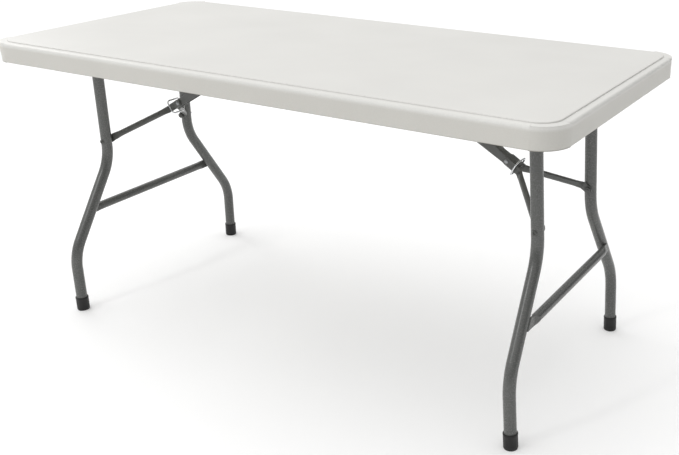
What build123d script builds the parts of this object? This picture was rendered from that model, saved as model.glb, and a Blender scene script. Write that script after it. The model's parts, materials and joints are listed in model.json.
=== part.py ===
from build123d import *
import os
from math import atan2, cos, degrees, hypot, radians, sin

# Folding table, 1524 x 700 x 740 mm.
# +Z is up, X runs along the length, Y across the depth with -Y at the front.
# The origin is on the floor, under the centre of the top.
# Right-hand pieces are made here, and each left-hand piece is their mirror image.

# ---- driving dimensions of the top ----
LENGTH = 1524.0
WIDTH = 700.0
HEIGHT = 740.0
CORNER_RADIUS = 65.0
SKIRT_HEIGHT = 49.0
RIM_WIDTH = 16.0
SLAB_THICKNESS = 20.0
MOULD_WALL = 3.0
LEDGE_WIDTH = 19.0
PANEL_RISE = 3.0
TOP_EDGE_RADIUS = 7.0
PANEL_EDGE_RADIUS = 2.0
SKIRT_EDGE_RADIUS = 2.5
SLAB_UNDERSIDE = HEIGHT - SLAB_THICKNESS
SKIRT_BOTTOM = HEIGHT - SKIRT_HEIGHT
LEDGE_Z = HEIGHT - PANEL_RISE

# ---- driving dimensions of a leg frame ----
HINGE_X = 626.0
HINGE_Z = 702.0
LEAN = 2.95
TUBE_RADIUS = 14.3
TUBE_WALL = 1.4
LEG_TOP_Y = 149.0
LEG_FOOT_Y = 300.0
LEG_BEND_RADIUS = 135.0
UPPER_BEND_Z = 395.0
LOWER_BEND_Z = 166.0
HINGE_TUBE_RADIUS = 12.7
HINGE_TUBE_HALF = 319.5
CROSSBAR_Z = 267.0
CROSSBAR_RADIUS = 11.1
CROSSBAR_WALL = 1.2
CAP_RADIUS = 16.8
CAP_HEIGHT = 39.0
CAP_FLOOR = 6.0

# ---- driving dimensions of the side rails ----
RAIL_HALF_LENGTH = 690.0
RAIL_WEB_Y = 321.5
RAIL_SHEET = 2.0
RAIL_FLANGE_Y = 333.5
RAIL_BOTTOM = 691.5
SPIGOT_RADIUS = 8.0
SPIGOT_END_Y = 327.5
RUNNING_CLEARANCE = 0.06

# ---- driving dimensions of a brace, in the upright plane y = 0 ----
PIVOT_X = 213.0
PIVOT_Z = 697.0
ELBOW_X = 497.0
ELBOW_Z = 537.0
BRACE_BOLT_Z = 448.0
CHANNEL_HALF_WIDTH = 11.0
CHANNEL_HALF_DEPTH = 10.0
CHANNEL_STEP = 3.0
SHOULDER_START = 40.0
SHOULDER_END = 24.0
CHANNEL_WALL = 1.8
CHANNEL_TAIL = 34.0
STRUT_RADIUS = 8.0
STRUT_PLATE = 4.0
STRUT_PLATE_WIDTH = 19.0
STEM_LENGTH = 36.0
SIDE_GAP = 0.3
PIN_RADIUS = 4.0
RING_WIRE_RADIUS = 2.0
RING_INNER_HEIGHT = 32.0
RING_INNER_WIDTH = 41.0
RING_BELOW_ELBOW = 25.0

# ---- sizes that follow ----
lean_sin = sin(radians(LEAN))
lean_cos = cos(radians(LEAN))


def leg_distance(z):
    """Distance down a leg from the hinge to the height z."""
    return (HINGE_Z - z) / lean_cos


floor_distance = leg_distance(0)
bolt_distance = leg_distance(BRACE_BOLT_Z)
crossbar_distance = leg_distance(CROSSBAR_Z)
bolt_x = HINGE_X + bolt_distance * lean_sin

leg_down = Vector(lean_sin, 0, -lean_cos)
leg_outward = Vector(lean_cos, 0, lean_sin)
leg_plane = Plane(origin=(HINGE_X, 0, HINGE_Z), x_dir=(0, 1, 0), z_dir=leg_outward)

channel_length = hypot(ELBOW_X - PIVOT_X, ELBOW_Z - PIVOT_Z)
channel_angle = atan2(ELBOW_Z - PIVOT_Z, ELBOW_X - PIVOT_X)
channel_dir = Vector(cos(channel_angle), 0, sin(channel_angle))
strut_length = hypot(bolt_x - ELBOW_X, BRACE_BOLT_Z - ELBOW_Z)
strut_angle = atan2(BRACE_BOLT_Z - ELBOW_Z, bolt_x - ELBOW_X)
strut_dir = Vector(cos(strut_angle), 0, sin(strut_angle))
strut_up = Vector(-sin(strut_angle), 0, cos(strut_angle))

stem_inner_y = CHANNEL_HALF_WIDTH + SIDE_GAP
stem_outer_y = stem_inner_y + STRUT_PLATE
tab_outer_y = LEG_TOP_Y - TUBE_RADIUS - SIDE_GAP
tab_inner_y = tab_outer_y - STRUT_PLATE
leg_inner_y = LEG_TOP_Y - TUBE_RADIUS
leg_outer_y = LEG_TOP_Y + TUBE_RADIUS

os.makedirs("parts", exist_ok=True)


def save(part, name):
    """Label one finished piece and write it as parts/name.step."""
    part.label = name
    export_step(part, f"parts/{name}.step")
    print(f"{name}: {part.volume / 1000:.1f} cm3")


def save_sides(right, name):
    """Write a right-hand piece and its mirror image on the left."""
    save(right.part, f"{name}_right")
    with BuildPart() as left:
        mirror(right.part, about=Plane.YZ)
    save(left.part, f"{name}_left")


def save_corners(front, name):
    """Write a front right piece, the rear right one, and the two on the left."""
    save_sides(front, f"{name}_front")
    with BuildPart() as rear:
        mirror(front.part, about=Plane.XZ)
    save_sides(rear, f"{name}_rear")


# ---- the top: one blow-moulded shell, hollow inside ----
rail_screw_x = [-600, -360, -120, 120, 360, 600]
rail_screw_y = 328.5
bracket_screw_dx = 22.0
bracket_screw_dy = 18.0
SCREW_RADIUS = 2.2
SCREW_TIP_Z = 733.0
BOSS_RADIUS = 7.0
screw_points = [(x, y) for x in rail_screw_x for y in (-rail_screw_y, rail_screw_y)]
for pivot in (-PIVOT_X, PIVOT_X):
    for dx in (-bracket_screw_dx, bracket_screw_dx):
        screw_points += [(pivot + dx, -bracket_screw_dy), (pivot + dx, bracket_screw_dy)]

recess_length = LENGTH - 2 * RIM_WIDTH
recess_width = WIDTH - 2 * RIM_WIDTH
recess_radius = CORNER_RADIUS - RIM_WIDTH
panel_length = LENGTH - 2 * LEDGE_WIDTH
panel_width = WIDTH - 2 * LEDGE_WIDTH
panel_radius = CORNER_RADIUS - LEDGE_WIDTH

# The air inside the moulding: the outer shape less one wall, without the leg recess.
with BuildPart() as air:
    with BuildSketch(Plane.XY.offset(SKIRT_BOTTOM + MOULD_WALL)):
        RectangleRounded(LENGTH - 2 * MOULD_WALL, WIDTH - 2 * MOULD_WALL, CORNER_RADIUS - MOULD_WALL)
    extrude(amount=LEDGE_Z - SKIRT_BOTTOM - 2 * MOULD_WALL)
    with BuildSketch(Plane.XY.offset(LEDGE_Z - MOULD_WALL)):
        RectangleRounded(
            panel_length - 2 * MOULD_WALL, panel_width - 2 * MOULD_WALL, panel_radius - MOULD_WALL
        )
    extrude(amount=PANEL_RISE)
    with BuildSketch(Plane.XY.offset(SKIRT_BOTTOM)):
        RectangleRounded(recess_length + 2 * MOULD_WALL, recess_width + 2 * MOULD_WALL, recess_radius + MOULD_WALL)
    extrude(amount=SLAB_UNDERSIDE + MOULD_WALL - SKIRT_BOTTOM, mode=Mode.SUBTRACT)
    with BuildSketch(Plane.XY.offset(SLAB_UNDERSIDE)):
        with Locations(*screw_points):
            Circle(BOSS_RADIUS)
    extrude(amount=SLAB_THICKNESS, mode=Mode.SUBTRACT)

with BuildPart() as tabletop:
    with BuildSketch(Plane.XY.offset(SKIRT_BOTTOM)):
        RectangleRounded(LENGTH, WIDTH, CORNER_RADIUS)
    extrude(amount=LEDGE_Z - SKIRT_BOTTOM)
    fillet(tabletop.faces().sort_by(Axis.Z)[-1].edges(), radius=TOP_EDGE_RADIUS)
    fillet(tabletop.faces().sort_by(Axis.Z)[0].edges(), radius=SKIRT_EDGE_RADIUS)
    with BuildSketch(Plane.XY.offset(LEDGE_Z)):
        RectangleRounded(panel_length, panel_width, panel_radius)
    extrude(amount=PANEL_RISE)
    fillet(tabletop.faces().sort_by(Axis.Z)[-1].edges(), radius=PANEL_EDGE_RADIUS)
    with BuildSketch(Plane.XY.offset(SKIRT_BOTTOM)):
        RectangleRounded(recess_length, recess_width, recess_radius)
    extrude(amount=SLAB_UNDERSIDE - SKIRT_BOTTOM, mode=Mode.SUBTRACT)
    with BuildSketch(Plane.XY.offset(SLAB_UNDERSIDE)):
        with Locations(*screw_points):
            Circle(SCREW_RADIUS)
    extrude(amount=SCREW_TIP_Z - SLAB_UNDERSIDE, mode=Mode.SUBTRACT)
    add(air.part, mode=Mode.SUBTRACT)
save(tabletop.part, "tabletop")

# ---- the side rails: steel angles that carry the leg hinges ----
with BuildPart() as rail_front:
    with BuildSketch(Plane.YZ.offset(-RAIL_HALF_LENGTH)):
        with Locations((-RAIL_WEB_Y, RAIL_BOTTOM)):
            Rectangle(RAIL_SHEET, SLAB_UNDERSIDE - RAIL_BOTTOM, align=(Align.MAX, Align.MIN))
        with Locations((-RAIL_WEB_Y, SLAB_UNDERSIDE)):
            Rectangle(RAIL_FLANGE_Y - RAIL_WEB_Y, RAIL_SHEET, align=(Align.MAX, Align.MAX))
    extrude(amount=2 * RAIL_HALF_LENGTH)
    with BuildSketch(Plane.XZ.offset(RAIL_WEB_Y)):
        with Locations((-HINGE_X, HINGE_Z), (HINGE_X, HINGE_Z)):
            Circle(SPIGOT_RADIUS + RUNNING_CLEARANCE)
    extrude(amount=RAIL_SHEET, mode=Mode.SUBTRACT)
    with BuildSketch(Plane.XY.offset(SLAB_UNDERSIDE - RAIL_SHEET)):
        with Locations(*[(x, -rail_screw_y) for x in rail_screw_x]):
            Circle(SCREW_RADIUS)
    extrude(amount=RAIL_SHEET, mode=Mode.SUBTRACT)
save(rail_front.part, "side_rail_front")
with BuildPart() as rail_rear:
    mirror(rail_front.part, about=Plane.XZ)
save(rail_rear.part, "side_rail_rear")

# ---- screws: pan head under the sheet, shank up into a moulded boss ----
SCREW_HEAD_RADIUS = 4.2
SCREW_HEAD_HEIGHT = 2.4
BRACKET_SHEET = 2.5


def make_screws(points, seat_z):
    """Return pan-head screws at points, with the underside of the sheet at seat_z."""
    with BuildPart() as screws:
        with BuildSketch(Plane.XY.offset(seat_z - SCREW_HEAD_HEIGHT)):
            with Locations(*points):
                Circle(SCREW_HEAD_RADIUS)
        extrude(amount=SCREW_HEAD_HEIGHT)
        with BuildSketch(Plane.XY.offset(seat_z)):
            with Locations(*points):
                Circle(SCREW_RADIUS)
        extrude(amount=SCREW_TIP_Z - seat_z)
    return screws


rail_screw_points = [(x, y) for x in rail_screw_x for y in (-rail_screw_y, rail_screw_y)]
rail_screws = make_screws(rail_screw_points, SLAB_UNDERSIDE - RAIL_SHEET)
save(rail_screws.part, "rail_screws")

# ---- brace bracket: a folded plate with two ears, screwed under the middle of the top ----
BRACKET_HALF_LENGTH = 30.0
BRACKET_HALF_WIDTH = 25.0
EAR_HALF_LENGTH = 10.0
EAR_BOTTOM = 689.0
EAR_CORNER_RADIUS = 6.0
PLATE_CORNER_RADIUS = 4.0
bracket_seat = SLAB_UNDERSIDE - BRACKET_SHEET
bracket_screw_points = [(PIVOT_X + dx, dy) for dx in (-bracket_screw_dx, bracket_screw_dx)
                        for dy in (-bracket_screw_dy, bracket_screw_dy)]
with BuildPart() as bracket:
    with BuildSketch(Plane.XY.offset(bracket_seat)):
        with Locations((PIVOT_X, 0)):
            RectangleRounded(2 * BRACKET_HALF_LENGTH, 2 * BRACKET_HALF_WIDTH, PLATE_CORNER_RADIUS)
        with Locations(*bracket_screw_points):
            Circle(SCREW_RADIUS, mode=Mode.SUBTRACT)
    extrude(amount=BRACKET_SHEET)
    with BuildSketch(Plane.XZ.offset(-stem_inner_y - BRACKET_SHEET)):
        with Locations((PIVOT_X, bracket_seat)):
            Rectangle(2 * EAR_HALF_LENGTH, bracket_seat - EAR_BOTTOM, align=(Align.CENTER, Align.MAX))
        fillet(vertices().group_by(Axis.Z)[0], radius=EAR_CORNER_RADIUS)
        with Locations((PIVOT_X, PIVOT_Z)):
            Circle(PIN_RADIUS + RUNNING_CLEARANCE, mode=Mode.SUBTRACT)
    extrude(amount=BRACKET_SHEET)
    with BuildSketch(Plane.XZ.offset(stem_inner_y)):
        with Locations((PIVOT_X, bracket_seat)):
            Rectangle(2 * EAR_HALF_LENGTH, bracket_seat - EAR_BOTTOM, align=(Align.CENTER, Align.MAX))
        fillet(vertices().group_by(Axis.Z)[0], radius=EAR_CORNER_RADIUS)
        with Locations((PIVOT_X, PIVOT_Z)):
            Circle(PIN_RADIUS + RUNNING_CLEARANCE, mode=Mode.SUBTRACT)
    extrude(amount=BRACKET_SHEET)
save_sides(bracket, "brace_bracket")

bracket_screws = make_screws(bracket_screw_points, bracket_seat)
save_sides(bracket_screws, "bracket_screws")

PIN_HEAD_RADIUS = 5.5
PIN_HEAD_HEIGHT = 2.2
pin_half = stem_inner_y + BRACKET_SHEET
with BuildPart() as pivot_pin:
    with BuildSketch(Plane.XZ.offset(-pin_half)):
        with Locations((PIVOT_X, PIVOT_Z)):
            Circle(PIN_RADIUS)
    extrude(amount=2 * pin_half)
    with BuildSketch(Plane.XZ.offset(pin_half), Plane.XZ.offset(-pin_half - PIN_HEAD_HEIGHT)):
        with Locations((PIVOT_X, PIVOT_Z)):
            Circle(PIN_HEAD_RADIUS)
    extrude(amount=PIN_HEAD_HEIGHT)
save_sides(pivot_pin, "brace_pivot_pin")

# ---- leg frame: hinge tube, spigots, two bent legs, crossbar, caps ----
with BuildPart() as hinge_tube:
    with BuildSketch(Plane.XZ.offset(-HINGE_TUBE_HALF)):
        with Locations((HINGE_X, HINGE_Z)):
            Circle(HINGE_TUBE_RADIUS)
            Circle(HINGE_TUBE_RADIUS - TUBE_WALL, mode=Mode.SUBTRACT)
    extrude(amount=2 * HINGE_TUBE_HALF)
save_sides(hinge_tube, "hinge_tube")

SPIGOT_PLUG_RADIUS = HINGE_TUBE_RADIUS - TUBE_WALL - 0.05
SPIGOT_PLUG_LENGTH = 20.0
with BuildPart() as spigots:
    with BuildSketch(Plane.XZ.offset(HINGE_TUBE_HALF - SPIGOT_PLUG_LENGTH)):
        with Locations((HINGE_X, HINGE_Z)):
            Circle(SPIGOT_PLUG_RADIUS)
    extrude(amount=SPIGOT_PLUG_LENGTH)
    with BuildSketch(Plane.XZ.offset(HINGE_TUBE_HALF)):
        with Locations((HINGE_X, HINGE_Z)):
            Circle(SPIGOT_RADIUS)
    extrude(amount=SPIGOT_END_Y - HINGE_TUBE_HALF)
    mirror(about=Plane.XZ)
save_sides(spigots, "hinge_spigots")

# A leg runs straight down, out to the side, and straight down again to its foot.
HOLE_GAP = 0.05
with BuildPart() as leg:
    with BuildLine(leg_plane) as leg_path:
        FilletPolyline(
            (-LEG_TOP_Y, 0),
            (-LEG_TOP_Y, -leg_distance(UPPER_BEND_Z)),
            (-LEG_FOOT_Y, -leg_distance(LOWER_BEND_Z)),
            (-LEG_FOOT_Y, CAP_FLOOR - floor_distance),
            radius=LEG_BEND_RADIUS,
        )
    with BuildSketch(Plane(origin=leg_path.line @ 0, z_dir=leg_path.line % 0)):
        Circle(TUBE_RADIUS)
        Circle(TUBE_RADIUS - TUBE_WALL, mode=Mode.SUBTRACT)
    sweep(path=leg_path.line)
    with BuildSketch(Plane.XZ):
        with Locations((HINGE_X, HINGE_Z)):
            Circle(HINGE_TUBE_RADIUS)
    extrude(amount=WIDTH, mode=Mode.SUBTRACT)
    with BuildSketch(Plane.XZ):
        with Locations((bolt_x, BRACE_BOLT_Z)):
            Circle(PIN_RADIUS + HOLE_GAP)
    extrude(amount=WIDTH, mode=Mode.SUBTRACT)
save_corners(leg, "leg")

# The crossbar is a round tube on the outer side of the legs. Its ends are pressed flat,
# hollowed to sit on the legs, cut along the legs' slope, and welded there.
FLAT_THICKNESS = 5.0
FLAT_WIDTH = 25.0
FLAT_CORNER_RADIUS = 2.0
FLAT_START_Y = 209.0
TAPER_LENGTH = 20.0
SADDLE_DEPTH = 2.5
WELD_SETBACK = 4.0
saddle_offset = TUBE_RADIUS - SADDLE_DEPTH
crossbar_offset = saddle_offset + FLAT_THICKNESS / 2
crossbar_centre = leg_plane.origin + leg_down * crossbar_distance + leg_outward * crossbar_offset
slant_top = leg_plane.origin + leg_down * leg_distance(UPPER_BEND_Z) + Vector(0, LEG_TOP_Y, 0)
slant_foot = leg_plane.origin + leg_down * leg_distance(LOWER_BEND_Z) + Vector(0, LEG_FOOT_Y, 0)
slant_length = (slant_foot - slant_top).length
slant_slope = (LEG_FOOT_Y - LEG_TOP_Y) / (leg_distance(LOWER_BEND_Z) - leg_distance(UPPER_BEND_Z))
leg_crossing_y = LEG_TOP_Y + slant_slope * (crossbar_distance - leg_distance(UPPER_BEND_Z))
crossbar_end_y = leg_crossing_y - WELD_SETBACK
flat_end_run = slant_slope * FLAT_WIDTH / 2
flat_top = FLAT_WIDTH / 2 - crossbar_distance
flat_bottom = -FLAT_WIDTH / 2 - crossbar_distance


def crossbar_section(y):
    """A plane across the crossbar at y, with its local x down the leg."""
    return Plane(origin=crossbar_centre + Vector(0, y, 0), x_dir=leg_down, z_dir=(0, 1, 0))


taper_start_y = FLAT_START_Y - TAPER_LENGTH
with BuildPart() as crossbar:
    with BuildSketch(crossbar_section(FLAT_START_Y)):
        RectangleRounded(FLAT_WIDTH, FLAT_THICKNESS, FLAT_CORNER_RADIUS)
    with BuildSketch(crossbar_section(taper_start_y)):
        Circle(CROSSBAR_RADIUS)
    loft()
    with BuildSketch(leg_plane.offset(saddle_offset)):
        with BuildLine():
            Polyline(
                (FLAT_START_Y, flat_top),
                (crossbar_end_y - flat_end_run, flat_top),
                (crossbar_end_y + flat_end_run, flat_bottom),
                (FLAT_START_Y, flat_bottom),
                close=True,
            )
        make_face()
    extrude(amount=FLAT_THICKNESS)
    with BuildSketch(crossbar_section(0)):
        Circle(CROSSBAR_RADIUS)
    extrude(amount=taper_start_y)
    with BuildSketch(Plane(origin=slant_top, z_dir=slant_foot - slant_top)):
        Circle(TUBE_RADIUS)
    extrude(amount=slant_length, mode=Mode.SUBTRACT)
    mirror(about=Plane.XZ)
    with BuildSketch(crossbar_section(-taper_start_y)):
        Circle(CROSSBAR_RADIUS - CROSSBAR_WALL)
    extrude(amount=2 * taper_start_y, mode=Mode.SUBTRACT)
save_sides(crossbar, "lower_crossbar")

# The foot cap is a plastic cup on the leg's end, cut level where it meets the floor.
foot_origin = leg_plane.origin + leg_down * floor_distance - Vector(0, LEG_FOOT_Y, 0)
foot_plane = Plane(origin=foot_origin, x_dir=(0, 1, 0), z_dir=-leg_down)
CAP_OVERRUN = 4.0
with BuildPart() as foot_cap:
    with BuildSketch(foot_plane.offset(-CAP_OVERRUN)):
        Circle(CAP_RADIUS)
    extrude(amount=CAP_OVERRUN + CAP_HEIGHT)
    fillet(foot_cap.edges().group_by(Axis.Z)[-1], radius=1.2)
    with BuildSketch(foot_plane.offset(CAP_FLOOR)):
        Circle(TUBE_RADIUS + HOLE_GAP)
    extrude(amount=CAP_HEIGHT, mode=Mode.SUBTRACT)
    split(bisect_by=Plane.XY, keep=Keep.TOP)
save_corners(foot_cap, "foot_cap")

# Each brace bolt passes through its leg and ends level with the leg's inner side.
BOLT_HEAD_RADIUS = 6.0
BOLT_HEAD_HEIGHT = 3.5
with BuildPart() as brace_bolts:
    with BuildSketch(Plane.XZ.offset(leg_inner_y)):
        with Locations((bolt_x, BRACE_BOLT_Z)):
            Circle(PIN_RADIUS)
    extrude(amount=leg_outer_y - leg_inner_y)
    with BuildSketch(Plane.XZ.offset(leg_outer_y)):
        with Locations((bolt_x, BRACE_BOLT_Z)):
            Circle(BOLT_HEAD_RADIUS)
    extrude(amount=BOLT_HEAD_HEIGHT, taper=20)
    mirror(about=Plane.XZ)
save_sides(brace_bolts, "brace_bolts")

# ---- brace channel: a U-section open below, from the bracket to the elbow ----
# Its upper edge steps down at a shoulder, just above the elbow.
channel_plane = Plane(origin=(PIVOT_X, 0, PIVOT_Z), x_dir=channel_dir, z_dir=(0, -1, 0))
CHANNEL_CORNER_RADIUS = 8.0


def channel_side(drop):
    """Return the channel's side view as a sketch, with the upper edge lowered by drop."""
    run = channel_length + CHANNEL_TAIL
    upper = CHANNEL_HALF_DEPTH - drop
    with BuildSketch() as side:
        with BuildLine():
            Polyline(
                (-CHANNEL_HALF_DEPTH, -CHANNEL_HALF_DEPTH),
                (run, -CHANNEL_HALF_DEPTH),
                (run, upper),
                (channel_length - SHOULDER_END, upper),
                (channel_length - SHOULDER_START, upper + CHANNEL_STEP),
                (-CHANNEL_HALF_DEPTH, upper + CHANNEL_STEP),
                close=True,
            )
        make_face()
    return side.sketch


channel_outside = channel_side(0)
channel_inside = channel_side(CHANNEL_WALL)
with BuildPart() as channel:
    with BuildSketch(channel_plane):
        add(channel_outside)
        fillet(vertices().group_by(Axis.X)[0], radius=CHANNEL_CORNER_RADIUS)
    extrude(amount=CHANNEL_HALF_WIDTH, both=True)
    with BuildSketch(channel_plane):
        add(channel_inside)
    extrude(amount=CHANNEL_HALF_WIDTH - CHANNEL_WALL, both=True, mode=Mode.SUBTRACT)
    with BuildSketch(channel_plane):
        Circle(PIN_RADIUS + RUNNING_CLEARANCE)
        with Locations((channel_length, 0)):
            Circle(PIN_RADIUS + HOLE_GAP)
    extrude(amount=CHANNEL_HALF_WIDTH, both=True, mode=Mode.SUBTRACT)
save_sides(channel, "brace_channel")

rivet_seat_y = stem_outer_y + SIDE_GAP
with BuildPart() as elbow_rivet:
    with BuildSketch(Plane.XZ.offset(-rivet_seat_y)):
        with Locations((ELBOW_X, ELBOW_Z)):
            Circle(PIN_RADIUS)
    extrude(amount=2 * rivet_seat_y)
    with BuildSketch(Plane.XZ.offset(rivet_seat_y), Plane.XZ.offset(-rivet_seat_y - PIN_HEAD_HEIGHT)):
        with Locations((ELBOW_X, ELBOW_Z)):
            Circle(PIN_HEAD_RADIUS)
    extrude(amount=PIN_HEAD_HEIGHT)
save_sides(elbow_rivet, "elbow_rivet")

# ---- brace struts: tubes pressed flat at both ends, spreading from the elbow to the legs ----
stem_mid_y = stem_inner_y + STRUT_PLATE / 2
tab_mid_y = tab_inner_y + STRUT_PLATE / 2
TAB_LENGTH = 16.0
PRESSED_TAPER = 24.0
elbow_point = Vector(ELBOW_X, 0, ELBOW_Z)
slope_start = elbow_point + strut_dir * STEM_LENGTH - Vector(0, stem_mid_y, 0)
slope_end = elbow_point + strut_dir * (strut_length - TAB_LENGTH) - Vector(0, tab_mid_y, 0)
slope_dir = (slope_end - slope_start).normalized()
stem_side = Plane(origin=elbow_point - Vector(0, stem_inner_y, 0), x_dir=strut_dir, z_dir=(0, -1, 0))
tab_side = Plane(origin=elbow_point - Vector(0, tab_inner_y, 0), x_dir=strut_dir, z_dir=(0, -1, 0))
with BuildPart() as strut:
    with BuildSketch(stem_side):
        Circle(STRUT_PLATE_WIDTH / 2)
        Rectangle(STEM_LENGTH, STRUT_PLATE_WIDTH, align=(Align.MIN, Align.CENTER))
        Circle(PIN_RADIUS + RUNNING_CLEARANCE, mode=Mode.SUBTRACT)
    extrude(amount=STRUT_PLATE)
    with BuildSketch(tab_side):
        with Locations((strut_length, 0)):
            Circle(STRUT_PLATE_WIDTH / 2)
            Rectangle(TAB_LENGTH, STRUT_PLATE_WIDTH, align=(Align.MAX, Align.CENTER))
            Circle(PIN_RADIUS + HOLE_GAP, mode=Mode.SUBTRACT)
    extrude(amount=STRUT_PLATE)
    with BuildSketch(Plane(origin=slope_start, x_dir=strut_up, z_dir=strut_dir)):
        Rectangle(STRUT_PLATE_WIDTH, STRUT_PLATE)
    with BuildSketch(Plane(origin=slope_start + slope_dir * PRESSED_TAPER, x_dir=strut_up, z_dir=slope_dir)):
        Circle(STRUT_RADIUS)
    loft()
    with BuildSketch(Plane(origin=slope_end, x_dir=strut_up, z_dir=strut_dir)):
        Rectangle(STRUT_PLATE_WIDTH, STRUT_PLATE)
    with BuildSketch(Plane(origin=slope_end - slope_dir * PRESSED_TAPER, x_dir=strut_up, z_dir=slope_dir)):
        Circle(STRUT_RADIUS)
    loft()
    with BuildSketch(Plane(origin=slope_start + slope_dir * PRESSED_TAPER, x_dir=strut_up, z_dir=slope_dir)):
        Circle(STRUT_RADIUS)
    extrude(amount=(slope_end - slope_start).length - 2 * PRESSED_TAPER)
save_corners(strut, "brace_strut")

# The nut and bolt end that hold a strut's flat end against its leg.
NUT_ACROSS_FLATS = 13.0
NUT_HEIGHT = 6.0
BOLT_STUB = 3.0
with BuildPart() as brace_nuts:
    with BuildSketch(Plane.XZ.offset(tab_inner_y - NUT_HEIGHT)):
        with Locations((bolt_x, BRACE_BOLT_Z)):
            RegularPolygon(NUT_ACROSS_FLATS / 2, 6, major_radius=False)
    extrude(amount=NUT_HEIGHT)
    with BuildSketch(Plane.XZ.offset(tab_inner_y - NUT_HEIGHT - BOLT_STUB)):
        with Locations((bolt_x, BRACE_BOLT_Z)):
            Circle(PIN_RADIUS)
    extrude(amount=NUT_HEIGHT + BOLT_STUB + STRUT_PLATE)
    mirror(about=Plane.XZ)
save_sides(brace_nuts, "brace_nuts")

# ---- lock ring: an oblong loop of wire that drops over the elbow ----
ring_centre = elbow_point + channel_dir * RING_BELOW_ELBOW
ring_plane = Plane(origin=ring_centre, x_dir=(0, 1, 0), z_dir=channel_dir)
RING_CORNER_RADIUS = 9.0
with BuildPart() as lock_ring:
    with BuildSketch(ring_plane, mode=Mode.PRIVATE) as ring_outline:
        RectangleRounded(
            RING_INNER_WIDTH + 2 * RING_WIRE_RADIUS,
            RING_INNER_HEIGHT + 2 * RING_WIRE_RADIUS,
            RING_CORNER_RADIUS,
        )
    ring_path = ring_outline.sketch.faces()[0].outer_wire()
    with BuildSketch(Plane(origin=ring_path @ 0, z_dir=ring_path % 0)):
        Circle(RING_WIRE_RADIUS)
    sweep(path=ring_path)
save_sides(lock_ring, "lock_ring")

print(f"channel {channel_length:.2f} mm at {degrees(channel_angle):.2f} degrees")
print(f"strut {strut_length:.2f} mm at {degrees(strut_angle):.2f} degrees")
print(f"brace bolt at x {bolt_x:.2f}, ring centre {ring_centre}")
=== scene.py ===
import json
import logging
from dataclasses import dataclass, field
from enum import Enum
from math import atan2, cos, hypot, pi, radians, sin, tan
from typing import Iterable, Optional, Sequence

import bmesh
import bpy
from mathutils import Matrix, Vector


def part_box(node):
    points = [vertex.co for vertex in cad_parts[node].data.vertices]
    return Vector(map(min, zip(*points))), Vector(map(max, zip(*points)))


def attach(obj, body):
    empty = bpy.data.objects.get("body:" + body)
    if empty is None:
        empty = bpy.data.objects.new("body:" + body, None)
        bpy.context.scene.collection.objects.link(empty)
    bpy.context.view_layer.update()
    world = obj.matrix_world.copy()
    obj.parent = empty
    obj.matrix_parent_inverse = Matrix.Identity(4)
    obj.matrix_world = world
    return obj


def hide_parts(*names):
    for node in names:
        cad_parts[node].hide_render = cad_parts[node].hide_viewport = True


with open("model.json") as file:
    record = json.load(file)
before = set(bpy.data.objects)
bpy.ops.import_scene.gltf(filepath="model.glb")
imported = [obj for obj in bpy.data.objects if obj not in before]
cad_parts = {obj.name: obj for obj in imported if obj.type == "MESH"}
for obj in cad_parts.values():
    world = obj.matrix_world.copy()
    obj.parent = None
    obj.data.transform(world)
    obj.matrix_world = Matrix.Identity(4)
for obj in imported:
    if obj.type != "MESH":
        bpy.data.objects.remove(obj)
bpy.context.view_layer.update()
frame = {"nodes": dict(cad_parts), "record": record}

log = logging.getLogger("folding_table")

MM = 0.001
X_AXIS = Vector((1, 0, 0))
Y_AXIS = Vector((0, 1, 0))
Z_AXIS = Vector((0, 0, 1))
SHARP_ANGLE = radians(38)

# Distances that count as none: between doubled vertices, between rims that meet, and between levels.
MERGE_GAP = 1e-6
JOIN_GAP = 1e-5
LEVEL_GAP = 1e-5
# Cosine above which two directions count as the same one.
SQUARE_ON = 0.99
# A bend turns by this angle at each step, in no fewer than this many steps.
BEND_STEP = radians(3)
LEAST_BEND_STEPS = 6
# Faces round a tube or a bead on one, round a small turned piece, round a bolt's end or a wire, and round a
# straight bead.
LARGE_TURN = 40
SMALL_TURN = 28
STUD_TURN = 20
ROD_TURN = 12
# Faces across a fold in sheet, and across the bevel of a nut.
FOLD_STEPS = 4
NUT_STEPS = 3
# Weighted normals that follow the largest faces alone.
FULL_WEIGHT = 100

# The sRGB curve: a straight toe up to the knee, and a power above it.
SRGB_KNEE = 0.04045
SRGB_TOE = 12.92
SRGB_OFFSET = 0.055
SRGB_POWER = 2.4
WHITE = "FFFFFF"

# Values between which most of a noise pattern lies.
NOISE_LOW, NOISE_HIGH = 0.3, 0.7
# Detail of the fine grain and of the slow change of tone.
GRAIN_DETAIL = 2.0
CLOUD_DETAIL = 3.0
# Sockets of a mix node: its factor, then two numbers and two colours, each pair with its result.
FACTOR = 0
NUMBER_A, NUMBER_B, NUMBER_OUT = 2, 3, 0
COLOUR_A, COLOUR_B, COLOUR_OUT = 6, 7, 2

Profile = Sequence[tuple[float, float]]

# Turned profiles, as the radius and height of each corner in millimetres.
BOLT_HEAD: Profile = (
    (0, 0.9), (1.7, 0.8), (2.3, 1.3), (2.8, 2.6), (3.7, 3.3), (4.7, 3.0), (5.5, 2.0), (6.0, 0.5),
    (6.0, -0.6), (4.0, -0.6), (4.0, -28.6), (0, -28.6),
)
RIVET_CROWN: Profile = ((0, 1.9), (2.0, 1.8), (3.6, 1.35), (4.7, 0.7), (5.3, 0), (4.0, 0))
WASHER: Profile = ((3.9, 0), (6.8, 0), (7.0, 0.2), (7.0, 0.8), (6.8, 1.0), (3.9, 1.0), (3.9, 0))
STUD: Profile = ((0, -4.0), (4.0, -4.0), (4.0, 8.2), (3.3, 9.0), (0, 9.0))
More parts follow.
